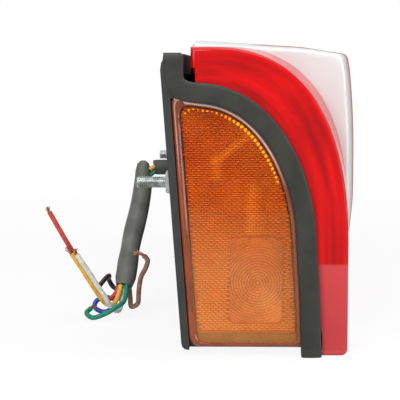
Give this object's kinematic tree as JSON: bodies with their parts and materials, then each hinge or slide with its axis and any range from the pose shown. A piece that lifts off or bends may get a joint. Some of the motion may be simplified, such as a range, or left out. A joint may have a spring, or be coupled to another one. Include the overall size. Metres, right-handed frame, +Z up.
{
  "type": "tail light cluster",
  "caption": "Truck rear combination lamp with red and clear lens sections, an amber side marker on one end, two mounting studs and a short cable.",
  "frame": {"origin": "midway between the two mounting studs, on the outer faces of their nuts", "axes": "+X out through the main lens, +Y along the lamp away from the side marker, +Z up"},
  "size_m": [0.1616, 0.382, 0.1424],
  "materials": {
    "housing_plastic": null,
    "red_lens": null,
    "clear_lens": null,
    "seal_rubber": null,
    "amber_lens": null,
    "amber_reflex": null,
    "amber_optic": null,
    "reflector_metal": null,
    "white_plastic": null,
    "bulb_amber": null,
    "bulb_glass": null,
    "holder_metal": null,
    "holder_plastic": null,
    "board": null,
    "zinc": null,
    "jacket_dark": null,
    "jacket_grey": null,
    "wire_red_pvc": null,
    "wire_yellow_pvc": null,
    "wire_white_pvc": null,
    "wire_green_pvc": null,
    "wire_blue_pvc": null,
    "wire_brown_pvc": null,
    "wire_black_pvc": null,
    "copper": null
  },
  "bodies": {
    "root": {"housing": "housing_plastic", "red_end_lens": "red_lens", "clear_lens": "clear_lens", "red_main_lens": "red_lens", "rubber_seal": "seal_rubber", "lens_gasket": "seal_rubber", "side_marker_lens": "amber_lens", "reflex_reflector": "amber_reflex", "side_marker_optic": "amber_optic", "clear_reflector": "reflector_metal", "red_reflector": "reflector_metal", "chamber_divider": "white_plastic", "indicator_bulb": "bulb_amber", "reverse_bulb": "bulb_glass", "stop_bulb": "bulb_glass", "tail_bulb": "bulb_glass", "fog_bulb": "bulb_glass", "side_marker_bulb": "bulb_amber", "indicator_holder": "holder_metal", "reverse_holder": "holder_metal", "stop_holder": "holder_metal", "tail_holder": "holder_metal", "fog_holder": "holder_metal", "side_marker_holder": "holder_plastic", "contact_board": "board", "reflector_screws": "zinc", "breather_vent": "seal_rubber", "mounting_studs": "zinc", "stud_nuts": "zinc", "cable_gland": "seal_rubber", "cable_stub": "jacket_dark", "exposed_cores": "wire_green_pvc", "cable_sheath": "jacket_grey", "wire_red": "wire_red_pvc", "wire_yellow": "wire_yellow_pvc", "wire_white": "wire_white_pvc", "wire_green": "wire_green_pvc", "wire_blue": "wire_blue_pvc", "wire_brown": "wire_brown_pvc", "wire_black": "wire_black_pvc", "copper_ends": "copper"}
  },
  "joints": []
}
